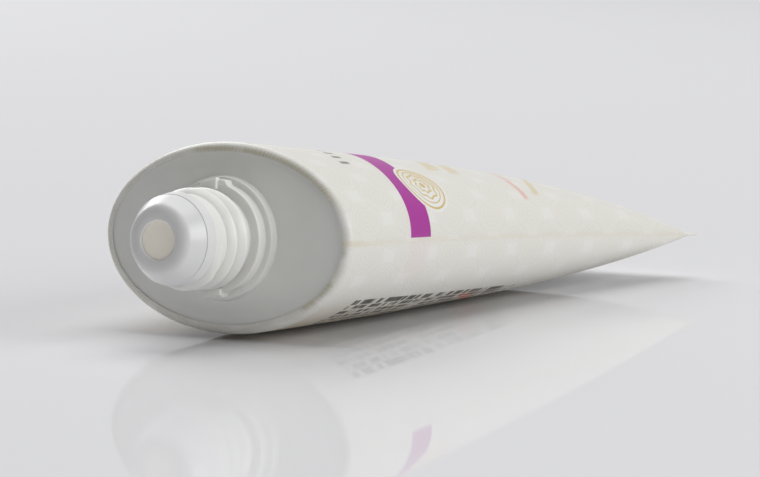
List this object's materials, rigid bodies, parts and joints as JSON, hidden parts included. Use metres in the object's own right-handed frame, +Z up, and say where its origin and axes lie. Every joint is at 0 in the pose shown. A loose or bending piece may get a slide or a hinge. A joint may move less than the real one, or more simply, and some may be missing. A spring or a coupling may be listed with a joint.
{
  "type": "oval squeeze tube with screw neck",
  "caption": "Filled oval squeeze tube lying on its side, cap off, with a screw neck, a domed nozzle insert and a flat sealed end.",
  "frame": {"origin": "middle of the tube's footprint box, on the surface that it lies on", "axes": "+Y along the tube towards the sealed end, with the neck towards -Y; +Z up; +X to the right seen from the neck"},
  "size_m": [0.0628, 0.1346, 0.0324],
  "materials": {
    "printed_sleeve": "white laminate film with a satin gloss, pale printed pattern, purple band and gold roundel",
    "head_plastic": "moulded natural white polyethylene, slightly translucent",
    "insert_plastic": "moulded opaque white polyethylene, smooth",
    "cream": "smooth beige cream"
  },
  "bodies": {
    "root": {"sleeve": "printed_sleeve", "tube_head": "head_plastic", "nozzle_insert": "insert_plastic", "cream_filling": "cream"}
  },
  "joints": []
}
